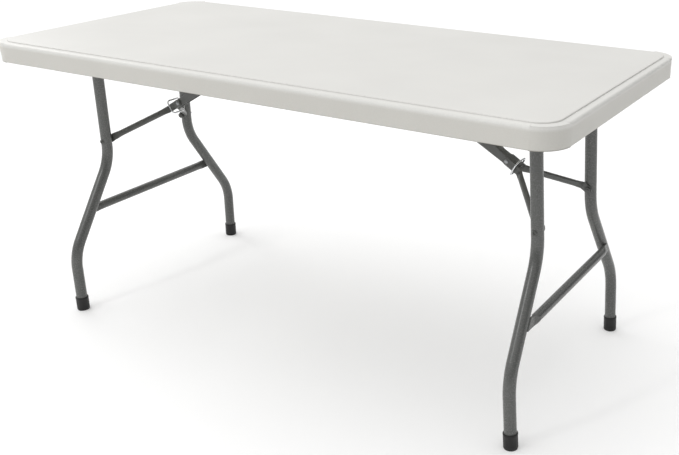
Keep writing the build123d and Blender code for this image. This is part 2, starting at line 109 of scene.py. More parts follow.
# A foot cap's wall, as the inset from its outer radius and the height above the floor, and its lip, as the
# inset and the depth below its upper edge, in millimetres. The wall starts below the floor and is cut there.
CAP_WALL: Profile = ((1.6, -3), (1.4, 0.6), (0.5, 2.0), (0.25, 3.6), (0.25, 8))
CAP_LIP: Profile = ((0.25, 6), (0, 5), (0, 1.4), (0.4, 0.4), (1.1, 0))


class Side(Enum):
    """The end of the table that a leg frame and its brace belong to."""

    RIGHT = "right"
    LEFT = "left"

    @property
    def sign(self) -> int:
        """Direction of this end along X."""
        return 1 if self is Side.RIGHT else -1


class Row(Enum):
    """The long side of the table that a leg or a strut stands on."""

    FRONT = "front"
    REAR = "rear"

    @property
    def sign(self) -> int:
        """Direction of this side along Y."""
        return -1 if self is Row.FRONT else 1


# ---- shading helpers ----


def linear(hex_colour: str) -> tuple[float, float, float, float]:
    """Turn an sRGB hex value into the linear colour that a shader takes.

    Args:
        hex_colour: six hex digits, without a hash sign.

    Returns:
        Red, green, blue and an alpha of one.
    """
    channels = []
    for start in (0, 2, 4):
        value = int(hex_colour[start:start + 2], 16) / 255
        toe = value / SRGB_TOE
        curve = ((value + SRGB_OFFSET) / (1 + SRGB_OFFSET)) ** SRGB_POWER
        channels.append(toe if value <= SRGB_KNEE else curve)
    return (channels[0], channels[1], channels[2], 1.0)


def add_node(
    tree: bpy.types.NodeTree, kind: str, inputs: Optional[dict] = None, **settings: str
) -> bpy.types.Node:
    """Add one node, set it up and link it.

    Args:
        tree: the node tree that gets the node.
        kind: the node's type name.
        inputs: value or output socket for each input, by its name or index.
        settings: properties of the node itself.

    Returns:
        The new node.
    """
    node = tree.nodes.new(kind)
    for name, value in settings.items():
        setattr(node, name, value)
    for name, value in (inputs or {}).items():
        if isinstance(value, bpy.types.NodeSocket):
            tree.links.new(value, node.inputs[name])
        else:
            node.inputs[name].default_value = value
    return node


def pattern_scale(size_mm: float) -> float:
    """Scale of a noise or cell pattern whose grain is size_mm across, in object coordinates."""
    return 1.0 / (size_mm * MM)


@dataclass(frozen=True)
class Finish:
    """A surface finish: two close tones, a roughness range and a fine relief.

    Attributes:
        name: the real material and how its surface was made.
        dark: hex colour of the darker tone.
        light: hex colour of the lighter tone.
        cloud_mm: size of the slow change of tone.
        grain_mm: size of the fine grain that both tone and relief follow.
        grain_share: share of the tone that comes from the grain.
        rough: lowest and highest roughness.
        relief_mm: height of the grain in the bump.
        metallic: one for a bare metal surface, or zero.
        ior: index of refraction, left alone on a metal.
    """

    name: str
    dark: str
    light: str
    cloud_mm: float
    grain_mm: float
    grain_share: float
    rough: tuple[float, float]
    relief_mm: float
    metallic: float = 0.0
    ior: float = 1.5

    def noise(self, tree: bpy.types.NodeTree, where: bpy.types.NodeSocket, size_mm: float,
              detail: float) -> bpy.types.NodeSocket:
        """Add a noise pattern.

        Args:
            tree: the material's node tree.
            where: the object's own coordinates.
            size_mm: size of its grain.
            detail: how much finer grain it carries.

        Returns:
            Its value socket.
        """
        made = add_node(
            tree, "ShaderNodeTexNoise", {"Vector": where, "Scale": pattern_scale(size_mm), "Detail": detail}
        )
        return made.outputs["Fac"]

    def grain(self, tree: bpy.types.NodeTree, where: bpy.types.NodeSocket) -> bpy.types.NodeSocket:
        """Return the value socket of the fine grain."""
        return self.noise(tree, where, self.grain_mm, GRAIN_DETAIL)

    def tint(self, tree: bpy.types.NodeTree, where: bpy.types.NodeSocket,
             colour: bpy.types.NodeSocket) -> bpy.types.NodeSocket:
        """Return the colour as it is; a finish with marks or painted shade of its own changes it here."""
        return colour

    def make(self) -> bpy.types.Material:
        """Build the material.

        Returns:
            The new material, named for the finish.
        """
        material = bpy.data.materials.new(self.name)
        material.use_nodes = True
        tree = material.node_tree
        shader = tree.nodes["Principled BSDF"]
        where = add_node(tree, "ShaderNodeTexCoord").outputs["Object"]
        cloud = self.noise(tree, where, self.cloud_mm, CLOUD_DETAIL)
        grain = self.grain(tree, where)
        most = {"From Min": NOISE_LOW, "From Max": NOISE_HIGH}
        patterns = {NUMBER_A: cloud, NUMBER_B: grain}
        tone = add_node(
            tree, "ShaderNodeMix", {FACTOR: self.grain_share, **patterns}, data_type="FLOAT"
        ).outputs[NUMBER_OUT]
        spread = add_node(tree, "ShaderNodeMapRange", {"Value": tone, **most}).outputs["Result"]
        tones = {COLOUR_A: linear(self.dark), COLOUR_B: linear(self.light)}
        colour = add_node(
            tree, "ShaderNodeMix", {FACTOR: spread, **tones}, data_type="RGBA"
        ).outputs[COLOUR_OUT]
        rough = add_node(
            tree,
            "ShaderNodeMapRange",
            {"Value": grain, **most, "To Min": self.rough[0], "To Max": self.rough[1]},
        ).outputs["Result"]
        bump = add_node(
            tree, "ShaderNodeBump", {"Height": grain, "Distance": self.relief_mm * MM, "Strength": 1.0}
        )
        tree.links.new(self.tint(tree, where, colour), shader.inputs["Base Color"])
        tree.links.new(rough, shader.inputs["Roughness"])
        tree.links.new(bump.outputs["Normal"], shader.inputs["Normal"])
        shader.inputs["Metallic"].default_value = self.metallic
        if not self.metallic:
            shader.inputs["IOR"].default_value = self.ior
        return material


@dataclass(frozen=True)
class PebbledFinish(Finish):
    """A moulded finish whose grain is a field of small rounded pebbles, with painted shade on the skirt and a
    darker band of painted shade along its foot.

    Attributes:
        foot_z: height of the trimmed lower edge.
        foot_shade_band: height of the band of painted shade above it, which stands for the shade under the
            rounded lower edge.
        foot_shade_tone: hex colour of that painted shade, which multiplies the band.
        foot_shade_tone: hex colour that multiplies the band.
        skirt_shade_band: height of the skirt, which is darkened by painted shade.
        skirt_shade_fade: height over which the skirt's painted shade fades into the panel's tone.
        skirt_shade_tone: hex colour of the painted shade that multiplies the skirt.
        skirt_shade_tone: hex colour that multiplies the skirt.
    """

    foot_z: float = 0.0
    foot_shade_band: float = 2.5 * MM
    foot_shade_tone: str = "A9A7A0"
    skirt_shade_band: float = 41 * MM
    skirt_shade_fade: float = 6 * MM
    skirt_shade_tone: str = "EEEDEA"

    def grain(self, tree: bpy.types.NodeTree, where: bpy.types.NodeSocket) -> bpy.types.NodeSocket:
        """Return the value socket of the pebbles."""
        cells = add_node(
            tree,
            "ShaderNodeTexVoronoi",
            {"Vector": where, "Scale": pattern_scale(self.grain_mm)},
            feature="SMOOTH_F1",
        )
        return cells.outputs["Distance"]

    def tint(self, tree: bpy.types.NodeTree, where: bpy.types.NodeSocket,
             colour: bpy.types.NodeSocket) -> bpy.types.NodeSocket:
        """Paint shade as a dark band along the skirt's lower edge, and as a lighter darkening over the whole
        skirt.

        Args:
            tree: the material's node tree.
            where: the object's own coordinates.
            colour: the colour so far.

        Returns:
            The colour with both bands of painted shade.
        """
        height = add_node(tree, "ShaderNodeSeparateXYZ", {0: where}).outputs["Z"]
        foot_shade_top = self.foot_z + self.foot_shade_band
        skirt_shade_top = self.foot_z + self.skirt_shade_band
        skirt_shade_fade = (skirt_shade_top - self.skirt_shade_fade, skirt_shade_top)
        # Painted shade: a dark band along the skirt's lower edge.
        colour = self.shade_below(tree, colour, height, (self.foot_z, foot_shade_top), self.foot_shade_tone)
        # Painted shade: a lighter darkening over the whole skirt, fading out near its top.
        return self.shade_below(tree, colour, height, skirt_shade_fade, self.skirt_shade_tone)

    def shade_below(self, tree: bpy.types.NodeTree, colour: bpy.types.NodeSocket,
                    height: bpy.types.NodeSocket, fade: tuple[float, float],
                    tone: str) -> bpy.types.NodeSocket:
        """Multiply a colour by a tone below a height.

        Args:
            tree: the material's node tree.
            colour: the colour so far.
            height: the height of the point that is shaded.
            fade: heights between which the tone goes from full to none.
            tone: hex colour of the tone.

        Returns:
            The shaded colour.
        """
        share = add_node(
            tree,
            "ShaderNodeMapRange",
            {"Value": height, "From Min": fade[0], "From Max": fade[1], "To Min": 1.0, "To Max": 0.0},
        ).outputs["Result"]
        return add_node(
            tree,
            "ShaderNodeMix",
            {FACTOR: share, COLOUR_A: colour, COLOUR_B: linear(tone)},
            data_type="RGBA",
            blend_type="MULTIPLY",
        ).outputs[COLOUR_OUT]


@dataclass
class FinishBook:
    """Every finish on the table, each made into one material that its pieces share.

    Attributes:
        skirt_foot: height of the top's trimmed lower edge.
        materials: the material for each material slot.
    """

    skirt_foot: float
    materials: dict[str, bpy.types.Material] = field(default_factory=dict)

    def __post_init__(self) -> None:
        """Make the materials, one for each material slot of the record."""
        finishes = {
            # Blow-moulded polyethylene gives a soft, faintly waxy off-white with a pebbled skin, with painted
            # shade on the skirt and along its lower edge.
            "moulded_top": PebbledFinish(
                "blow_moulded_polyethylene", dark="D3D2CE", light="D9D8D4", cloud_mm=190.0, grain_mm=3.0,
                grain_share=0.35, rough=(0.4, 0.5), relief_mm=0.05, foot_z=self.skirt_foot,
            ),
            # Powder coat on steel tube gives a satin grey with a slight orange peel.
            "painted_tube": Finish(
                "powder_coated_steel_tube", dark="555654", light="5F605E", cloud_mm=60.0, grain_mm=2.2,
                grain_share=0.5, rough=(0.22, 0.3), relief_mm=0.02, ior=1.52,
            ),
            # The pressed brace parts carry the same paint, a little thinner and darker.
            "painted_brace": Finish(
                "powder_coated_pressed_steel", dark="51524F", light="5B5C5A", cloud_mm=35.0, grain_mm=2.0,
                grain_share=0.5, rough=(0.28, 0.36), relief_mm=0.025, ior=1.52,
            ),
            # Sheet under the top is painted in the same bath, with flatter, drier spray.
            "painted_sheet": Finish(
                "powder_coated_steel_sheet", dark="565755", light="60615F", cloud_mm=80.0, grain_mm=2.4,
                grain_share=0.4, rough=(0.45, 0.58), relief_mm=0.03, ior=1.52,
            ),
            # Injection-moulded polypropylene gives a near-black, slightly scuffed cap.
            "cap_plastic": Finish(
                "injection_moulded_polypropylene", dark="080808", light="0F0F0E", cloud_mm=18.0, grain_mm=1.2,
                grain_share=0.5, rough=(0.42, 0.58), relief_mm=0.03, ior=1.49,
            ),
            # Zinc plate with a clear passivation gives fasteners a cool, slightly clouded shine.
            "plated_fastener": Finish(
                "zinc_plated_steel", dark="8E9092", light="A3A5A6", cloud_mm=6.0, grain_mm=0.8,
                grain_share=0.4, rough=(0.3, 0.44), relief_mm=0.01, metallic=1.0,
            ),
            # Drawn wire keeps a brighter plate than the fasteners.
            "plated_wire": Finish(
                "bright_zinc_plated_wire", dark="C9CBCD", light="DEDFE0", cloud_mm=5.0, grain_mm=0.6,
                grain_share=0.4, rough=(0.14, 0.24), relief_mm=0.006, metallic=1.0,
            ),
        }
        self.materials = {slot: finish.make() for slot, finish in finishes.items()}


# ---- mesh helpers ----


def only(kind: type, geometry: Iterable) -> list:
    """Pick the vertices, edges or faces out of what an operator made."""
    return [item for item in geometry if isinstance(item, kind)]


def settle(bm: bmesh.types.BMesh, merge: float = MERGE_GAP) -> bmesh.types.BMesh:
    """Merge doubled vertices and turn every face outwards.

    Args:
        bm: the mesh in work.
        merge: distance within which vertices become one.

    Returns:
        The same mesh.
    """
    bmesh.ops.remove_doubles(bm, verts=bm.verts, dist=merge)
    bmesh.ops.recalc_face_normals(bm, faces=bm.faces)
    return bm


def mirrored(bm: bmesh.types.BMesh, x: int, y: int) -> bmesh.types.BMesh:
    """Mirror a copy of a mesh in work across the middle planes.

    Args:
        bm: the right front piece.
        x: minus one to mirror it to the left, or one.
        y: minus one to mirror it to the rear, or one.

    Returns:
        The mirrored copy, with its faces outwards.
    """
    other = bm.copy()
    bmesh.ops.scale(other, vec=(x, y, 1), verts=other.verts)
    if x * y < 0:
        bmesh.ops.reverse_faces(other, faces=other.faces)
    return other


def joined(parts: Iterable[bmesh.types.BMesh]) -> bmesh.types.BMesh:
    """Put several meshes in work into one, and free them.

    Args:
        parts: the meshes.

    Returns:
        The mesh that holds them all.
    """
    whole = bmesh.new()
    for part in parts:
        mesh = bpy.data.meshes.new("part")
        part.to_mesh(mesh)
        part.free()
        whole.from_mesh(mesh)
        bpy.data.meshes.remove(mesh)
    return whole


def frame_at(origin: Vector, z_dir: Vector, x_hint: Vector) -> Matrix:
    """Find the matrix that stands a shape in its place.

    Args:
        origin: where its origin comes.
        z_dir: direction of its own z.
        x_hint: direction that its own x keeps as near as it can.

    Returns:
        The matrix.
    """
    z = z_dir.normalized()
    y = z.cross(x_hint).normalized()
    x = y.cross(z)
    turn = Matrix((x, y, z)).transposed().to_4x4()
    return Matrix.Translation(origin) @ turn


def in_metres(profile: Profile) -> list[tuple[float, float]]:
    """Turn a profile in millimetres to metres."""
    return [(radius * MM, height * MM) for radius, height in profile]


def turned(profile: Profile, place: Matrix, steps: int) -> bmesh.types.BMesh:
    """Turn a profile about its axis, as on a lathe.

    Args:
        profile: radius and height of each corner, in metres.
        place: matrix that carries the turned piece to its place.
        steps: number of steps in the full turn.

    Returns:
        The turned shape.
    """
    bm = bmesh.new()
    points = [bm.verts.new((radius, 0, height)) for radius, height in profile]
    edges = [bm.edges.new(pair) for pair in zip(points, points[1:])]
    bmesh.ops.spin(
        bm, geom=points + edges, cent=(0, 0, 0), axis=Z_AXIS, angle=2 * pi, steps=steps, use_merge=True
    )
    settle(bm)
    bmesh.ops.transform(bm, matrix=place, verts=bm.verts)
    return bm


def slab(outline: Sequence[tuple[float, float]], thickness: float, place: Matrix) -> bmesh.types.BMesh:
    """Extrude a flat outline into a plate.

    Args:
        outline: corners of the plate in its own plane, in order.
        thickness: how far it is extruded along its own z.
        place: matrix that carries it to its place.

    Returns:
        The plate, closed.
    """
    bm = bmesh.new()
    face = bm.faces.new([bm.verts.new((x, y, 0)) for x, y in outline])
    grown = bmesh.ops.extrude_face_region(bm, geom=[face])["geom"]
    bmesh.ops.translate(bm, vec=(0, 0, thickness), verts=only(bmesh.types.BMVert, grown))
    settle(bm)
    bmesh.ops.transform(bm, matrix=place, verts=bm.verts)
    return bm


def round_edges(bm: bmesh.types.BMesh, edges: Iterable[bmesh.types.BMEdge], radius: float,
                segments: int) -> None:
    """Bevel edges to a round of the given radius."""
    bmesh.ops.bevel(
        bm, geom=list(edges), offset=radius, affect="EDGES", segments=segments, profile=0.5, material=-1,
        clamp_overlap=True,
    )


def carry_on(
    bm: bmesh.types.BMesh, rim: list[bmesh.types.BMEdge]
) -> tuple[list[bmesh.types.BMVert], list[bmesh.types.BMEdge]]:
    """Extrude the open rim of a tube in place.

    Args:
        bm: the tube in work.
        rim: edges of its open end.

    Returns:
        The vertices and the edges of the new open end.
    """
    grown = bmesh.ops.extrude_edge_only(bm, edges=rim)["geom"]
    verts = only(bmesh.types.BMVert, grown)
    fresh = set(verts)
    edges = [edge for edge in only(bmesh.types.BMEdge, grown) if fresh.issuperset(edge.verts)]
    return verts, edges


@dataclass
class BentTube:
    """A tube that is made as on a bending machine: fed straight, and swung round a former.

    Attributes:
        radius: outside radius.
        at: centre of the open end.
        heading: direction in which it is fed.
        around: number of faces round the tube.
        bm: the mesh in work.
        rim: edges of its open end.
    """

    radius: float
    at: Vector
    heading: Vector
    around: int = LARGE_TURN
    bm: bmesh.types.BMesh = field(default_factory=bmesh.new)
    rim: list[bmesh.types.BMEdge] = field(default_factory=list)

    def __post_init__(self) -> None:
        """Start with an open circle across the heading."""
        hint = Y_AXIS if abs(self.heading.y) < SQUARE_ON else X_AXIS
        place = frame_at(self.at, self.heading, hint)
        bmesh.ops.create_circle(
            self.bm, cap_ends=False, radius=self.radius, segments=self.around, matrix=place
        )
        self.rim = list(self.bm.edges)

    def feed(self, length: float) -> None:
        """Feed the tube straight on.

        Args:
            length: how far it is fed.
        """
        verts, self.rim = carry_on(self.bm, self.rim)
        bmesh.ops.translate(self.bm, vec=self.heading * length, verts=verts)
        self.at = self.at + self.heading * length

    def bend(self, angle: float, radius: float, axis: Vector) -> None:
        """Swing the tube round a former.

        Args:
            angle: how far it is swung, either way.
            radius: radius of the former, to the tube's centre line.
            axis: direction of the former's axis, square to the tube.
        """
        inward = axis.cross(self.heading).normalized()
        if angle < 0:
            inward = -inward
        centre = self.at + inward * radius
        steps = max(LEAST_BEND_STEPS, round(abs(angle) / BEND_STEP))
        ends = list(dict.fromkeys(vert for edge in self.rim for vert in edge.verts))
        made = bmesh.ops.spin(
            self.bm, geom=ends + self.rim, cent=centre, axis=axis, angle=angle, steps=steps, use_merge=False
        )["geom_last"]
        self.rim = only(bmesh.types.BMEdge, made)
        turn = Matrix.Rotation(angle, 3, axis)
        self.at = centre + turn @ (self.at - centre)
        self.heading = (turn @ self.heading).normalized()

    def close(self, ends: bool = True) -> bmesh.types.BMesh:
        """Finish the tube.

        Args:
            ends: whether both ends are closed, or the tube is a loop that joins its own start.

        Returns:
            The finished mesh.
        """
        if ends:
            bmesh.ops.holes_fill(self.bm, edges=[edge for edge in self.bm.edges if edge.is_boundary], sides=0)
        return settle(self.bm, JOIN_GAP)


@dataclass
class PressedTube:
    """A round tube whose ends are squeezed flat between plates.

    Attributes:
        radius: outside radius of the round part.
        normal: direction in which it is squeezed.
        around: number of faces round the tube.
        bm: the mesh in work.
        rim: edges of its open end.
    """

    radius: float
    normal: Vector
    around: int = LARGE_TURN
    bm: bmesh.types.BMesh = field(default_factory=bmesh.new)
    rim: list[bmesh.types.BMEdge] = field(default_factory=list)

    def start(self, at: Vector, across: Vector) -> None:
        """Begin with a round section.

        Args:
            at: its centre.
            across: direction of its width.
        """
        turn = self.bm.verts.layers.float.new("turn")
        made = bmesh.ops.create_circle(
            self.bm, cap_ends=False, radius=self.radius, segments=self.around
        )["verts"]
        for vert in made:
            vert[turn] = atan2(vert.co.y, vert.co.x)
        self.rim = list(dict.fromkeys(edge for vert in made for edge in vert.link_edges))
        self.place(made, at, across, self.radius, self.radius)

    def place(self, verts: Iterable[bmesh.types.BMVert], at: Vector, across: Vector,
              half_width: float, half_thickness: float) -> None:
        """Set the section of one ring.

        Args:
            verts: the ring.
            at: its centre.
            across: direction of its width.
            half_width: half its width.
            half_thickness: half the gap between the plates that squeeze it.
        """
        turn = self.bm.verts.layers.float["turn"]
        for vert in verts:
            rise = max(-half_thickness, min(half_thickness, self.radius * sin(vert[turn])))
            vert.co = at + across * (half_width * cos(vert[turn])) + self.normal * rise

    def step(self, at: Vector, across: Vector, half_width: float, half_thickness: float) -> None:
        """Carry the tube on to its next section, which is described as in place."""
        verts, self.rim = carry_on(self.bm, self.rim)
        self.place(verts, at, across, half_width, half_thickness)

    def squeeze(self, start: Vector, end: Vector, across: Vector, half_width: float, half_thickness: float,
                steps: int = 8) -> None:
        """Go smoothly from a round section to a flat one.

        Args:
            start: centre of the round section.
            end: centre of the flat one.
            across: direction of their width.
            half_width: half the width of the flat one.
            half_thickness: half its thickness.
            steps: number of sections between them.
        """
        for number in range(1, steps + 1):
            share = number / steps
            ease = share * share * (3 - 2 * share)
            self.step(
                start.lerp(end, share),
                across,
                self.radius + (half_width - self.radius) * ease,
                self.radius + (half_thickness - self.radius) * ease,
            )

    def round_off(self, at: Vector, along: Vector, across: Vector, radius: float, half_thickness: float,
                  steps: int = 9) -> None:
        """Finish a flat end with a half circle.

        Args:
            at: its centre.
            along: direction of the end.
            across: direction of its width.
            radius: its radius, which is half the width.
            half_thickness: half its thickness.
            steps: number of sections in it.
        """
        for number in range(steps):
            angle = (pi / 2) * number / steps
            self.step(at + along * (radius * sin(angle)), across, radius * cos(angle), half_thickness)
        tip_width, tip_thickness = 0.05, 0.9
        self.step(at + along * radius, across, radius * tip_width, half_thickness * tip_thickness)
        bmesh.ops.holes_fill(self.bm, edges=self.rim, sides=0)

    def cut_off(self, at: Vector, along: Vector, across: Vector, half_width: float, half_thickness: float,
                slope: float) -> None:
        """Finish a flat end with a straight cut.

        Args:
            at: centre of the cut.
            along: direction of the end.
            across: direction of its width.
            half_width: half its width.
            half_thickness: half its thickness.
            slope: how far the cut runs along the end for each unit of width.
        """
        self.step(at, across, half_width, half_thickness)
        for vert in {vert for edge in self.rim for vert in edge.verts}:
            vert.co += along * (slope * (vert.co - at).dot(across))
        bmesh.ops.holes_fill(self.bm, edges=self.rim, sides=0)


@dataclass
class Fitter:
    """Turns finished meshes into pieces of the table: named, painted and riding on their body.

    Attributes:
        book: every finish.
        count: number of pieces fitted so far.
    """

    book: FinishBook
    count: int = 0

    def fit(self, bm: bmesh.types.BMesh, name: str, body: str, slot: str,
            stands_for: Sequence[str] = ()) -> bpy.types.Object:
        """Make one piece.

        Args:
            bm: the finished mesh, in place, which is freed.
            name: the piece's name.
            body: the body that it rides on.
            slot: the material slot that it takes its finish from.
            stands_for: CAD nodes that it replaces.

        Returns:
            The new object.
        """
        mesh = bpy.data.meshes.new(name)
        bm.to_mesh(mesh)
        bm.free()
        mesh.shade_smooth()
        mesh.set_sharp_from_angle(angle=SHARP_ANGLE)
        piece = bpy.data.objects.new(name, mesh)
        bpy.context.scene.collection.objects.link(piece)
        mesh.materials.append(self.book.materials[slot])
        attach(piece, body)
        if stands_for:
            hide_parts(*stands_for)
        self.count += 1
        log.info("fitted %s on %s", name, body)
        return piece


# ---- the blow-moulded top ----


@dataclass
class BlowMouldedTop:
    """The hollow white top: deep skirt, low ledge, raised panel and a pocketed recess underneath.

    Attributes:
        corner_radius: plan radius of the skirt's corners.
        ledge_width: width of the low ledge round the panel.
        panel_rise: height of the panel above the ledge.
        shoulder_radius: round of the ledge's outer edge.
        riser_radius: round of the panel's edge.
        foot_radius: round of the skirt's lower edge.
        rim_width: width of the skirt seen from below.
        slab_thickness: depth from the panel to the ceiling of the leg recess.
        pocket_depth: depth of the tack-off pockets in that ceiling.
        pocket_pitch: spacing of the pockets along X and Y.
        pocket_taper: size of a pocket's floor as a share of its mouth.
        land: width of plain ceiling round a pocket.
        whole_cell: least share of a full cell that still takes a pocket.
        rail_zone: distance from the middle where the side rails begin.
        bracket_zone: half length and half width of the plain ceiling round a brace bracket.
        corner_steps: faces round a corner of the skirt.
        shoulder_steps: faces across the ledge's outer round.
        lip_steps: faces across the smaller rounds.
        outline_gap: distance inside the outline within which an edge lies on it.
        half: half the length, width and height of the top, set when it is built.
    """

    corner_radius: float = 65 * MM
    ledge_width: float = 19 * MM
    panel_rise: float = 3 * MM
    shoulder_radius: float = 7 * MM
    riser_radius: float = 2.8 * MM
    foot_radius: float = 2.5 * MM
    rim_width: float = 16 * MM
    slab_thickness: float = 20 * MM
    pocket_depth: float = 8 * MM
    pocket_pitch: tuple[float, float] = (62 * MM, 62 * MM)
    pocket_taper: float = 0.72
    land: float = 13 * MM
    whole_cell: float = 0.98
    rail_zone: float = 306 * MM
    bracket_zone: tuple[float, float] = (45 * MM, 40 * MM)
    corner_steps: int = 20
    shoulder_steps: int = 8
    lip_steps: int = 4
    outline_gap: float = 0.1 * MM
    half: Vector = field(default_factory=Vector)

    def outline_face(self, bm: bmesh.types.BMesh, low: Vector, high: Vector) -> bmesh.types.BMFace:
        """Make the skirt's footprint, with round corners, at its lower edge.

        Args:
            bm: the mesh that gets it.
            low: lowest corner of the top's box.
            high: highest corner of the box.

        Returns:
            The face.
        """
        half = (high - low) / 2
        place = Matrix.Translation(((low.x + high.x) / 2, (low.y + high.y) / 2, low.z))
        bmesh.ops.create_grid(bm, x_segments=1, y_segments=1, size=1.0)
        bmesh.ops.scale(bm, vec=(half.x, half.y, 1), verts=bm.verts)
        bmesh.ops.bevel(
            bm, geom=list(bm.verts), offset=self.corner_radius, affect="VERTICES",
            segments=self.corner_steps, profile=0.5, material=-1, clamp_overlap=False,
        )
        bmesh.ops.transform(bm, matrix=place, verts=bm.verts)
        return bm.faces[:][0]

    def raise_face(self, bm: bmesh.types.BMesh, face: bmesh.types.BMFace,
                   height: float) -> bmesh.types.BMFace:
        """Extrude a flat face straight up or down.

        Args:
            bm: the top in work.
            face: the face, which goes when it was part of a closed skin.
            height: how far it is raised, or a negative drop.

        Returns:
            The face at the far end.
        """
        inside = all(len(edge.link_faces) > 1 for edge in face.edges)
        grown = bmesh.ops.extrude_face_region(bm, geom=[face])["geom"]
        if inside:
            bmesh.ops.delete(bm, geom=[face], context="FACES_ONLY")
        bmesh.ops.translate(bm, vec=(0, 0, height), verts=only(bmesh.types.BMVert, grown))
        return only(bmesh.types.BMFace, grown)[0]

    def inset_face(self, bm: bmesh.types.BMesh, face: bmesh.types.BMFace,
                   width: float) -> bmesh.types.BMFace:
        """Draw a band of the given width inside a face, and return the face that is left."""
        bmesh.ops.inset_region(bm, faces=[face], thickness=width, use_even_offset=True)
        return face

    def gap(self, edge: bmesh.types.BMEdge) -> float:
        """Measure how far inside the skirt's outline an edge reaches."""
        reach = max(abs(vert.co.x) for vert in edge.verts)
        wide = max(abs(vert.co.y) for vert in edge.verts)
        return min(self.half.x - reach, self.half.y - wide)

    def lips(self, bm: bmesh.types.BMesh, height: float, inside: float) -> list[bmesh.types.BMEdge]:
        """Find the sharp level edges at a height.

        Args:
            bm: the top in work.
            height: their height.
            inside: their least distance inside the skirt's outline, or zero for those on the outline.

        Returns:
            The edges of that lip.
        """
        found = []
        for edge in bm.edges:
            level = all(abs(vert.co.z - height) < LEVEL_GAP for vert in edge.verts)
            if level and len(edge.link_faces) == 2 and edge.calc_face_angle(0.0) > SHARP_ANGLE:
                gap = self.gap(edge)
                if (gap >= inside - LEVEL_GAP) if inside else (gap <= self.outline_gap):
                    found.append(edge)
        return found

    def takes_pocket(self, face: bmesh.types.BMFace, ceiling_z: float, bracket_x: float) -> bool:
        """Tell whether a cell of the recess's ceiling takes a pocket.

        Args:
            face: the cell.
            ceiling_z: height of the ceiling.
            bracket_x: distance of the brace brackets from the middle.

        Returns:
            True where it is a whole cell, clear of the side rails and the brace brackets.
        """
        centre = face.calc_center_median()
        pitch_x, pitch_y = self.pocket_pitch
        level = abs(centre.z - ceiling_z) < LEVEL_GAP and abs(face.normal.z) > SQUARE_ON
        whole = face.calc_area() > pitch_x * pitch_y * self.whole_cell
        clear = abs(centre.y) + pitch_y / 2 < self.rail_zone
        beside = abs(abs(centre.x) - bracket_x) < self.bracket_zone[0] + pitch_x / 2
        bracket = beside and abs(centre.y) < self.bracket_zone[1]
        return level and whole and clear and not bracket

    def cut_pockets(self, bm: bmesh.types.BMesh, ceiling_z: float) -> None:
        """Press the tack-off pockets into the ceiling of the leg recess.

        Args:
            bm: the top in work.
            ceiling_z: height of the ceiling.
        """
        for pitch, reach, normal in zip(self.pocket_pitch, self.half, (X_AXIS, Y_AXIS)):
            count = int(reach / pitch)
            for number in range(-count, count):
                at = normal * ((number + 0.5) * pitch)
                geometry = {}
                for face in bm.faces:
                    if abs(face.calc_center_median().z - ceiling_z) < LEVEL_GAP:
                        geometry.update(dict.fromkeys((face, *face.edges, *face.verts)))
                bmesh.ops.bisect_plane(bm, geom=list(geometry), dist=MERGE_GAP, plane_co=at, plane_no=normal)
        bracket_x = node_centre("brace_bracket_right").x
        cells = [face for face in bm.faces if self.takes_pocket(face, ceiling_z, bracket_x)]
        bmesh.ops.inset_individual(bm, faces=cells, thickness=self.land, use_even_offset=True)
        for face in cells:
            grown = bmesh.ops.extrude_face_region(bm, geom=[face])["geom"]
            verts = only(bmesh.types.BMVert, grown)
            middle = sum((vert.co for vert in verts), Vector()) / len(verts)
            bmesh.ops.translate(bm, vec=(0, 0, self.pocket_depth), verts=verts)
            bmesh.ops.scale(
                bm, vec=(self.pocket_taper, self.pocket_taper, 1), verts=verts,
                space=Matrix.Translation(-middle),
            )
        count = len(cells)
        bmesh.ops.delete(bm, geom=cells, context="FACES_ONLY")
        log.info("pressed %d pockets", count)

    def build(self, fitter: Fitter) -> None:
        """Build the top and fit it.

        Args:
            fitter: what fits the finished piece.
        """
        low, high = (Vector(corner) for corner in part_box("tabletop"))
        self.half = (high - low) / 2
        bm = bmesh.new()
        base = self.outline_face(bm, low, high)
        ledge_z = high.z - self.panel_rise
        upper = self.raise_face(bm, base, ledge_z - low.z)
        bmesh.ops.recalc_face_normals(bm, faces=bm.faces)
        panel = self.inset_face(bm, upper, self.ledge_width)
        self.raise_face(bm, panel, self.panel_rise)
        under = min(bm.faces, key=lambda face: face.calc_center_median().z)
        ceiling = self.inset_face(bm, under, self.rim_width)
        ceiling_z = high.z - self.slab_thickness
        self.raise_face(bm, ceiling, ceiling_z - low.z)
        settle(bm)
        for height, inside, radius, steps in (
            (ledge_z, 0, self.shoulder_radius, self.shoulder_steps),
            (high.z, self.ledge_width, self.riser_radius, self.lip_steps),
            (low.z, 0, self.foot_radius, self.lip_steps),
            (low.z, self.rim_width, self.foot_radius, self.lip_steps),
        ):
            round_edges(bm, self.lips(bm, height, inside), radius, steps)
        self.cut_pockets(bm, ceiling_z)
        settle(bm)
        piece = fitter.fit(bm, "moulded_top", "top", "moulded_top", ["tabletop"])
        even = piece.modifiers.new("even_shading", "WEIGHTED_NORMAL")
        even.keep_sharp = True
        even.weight = FULL_WEIGHT


def node_centre(node: str) -> Vector:
    """Centre of a CAD node's box at rest."""
    low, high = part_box(node)
    return (Vector(low) + Vector(high)) / 2


# ---- a folding leg frame ----


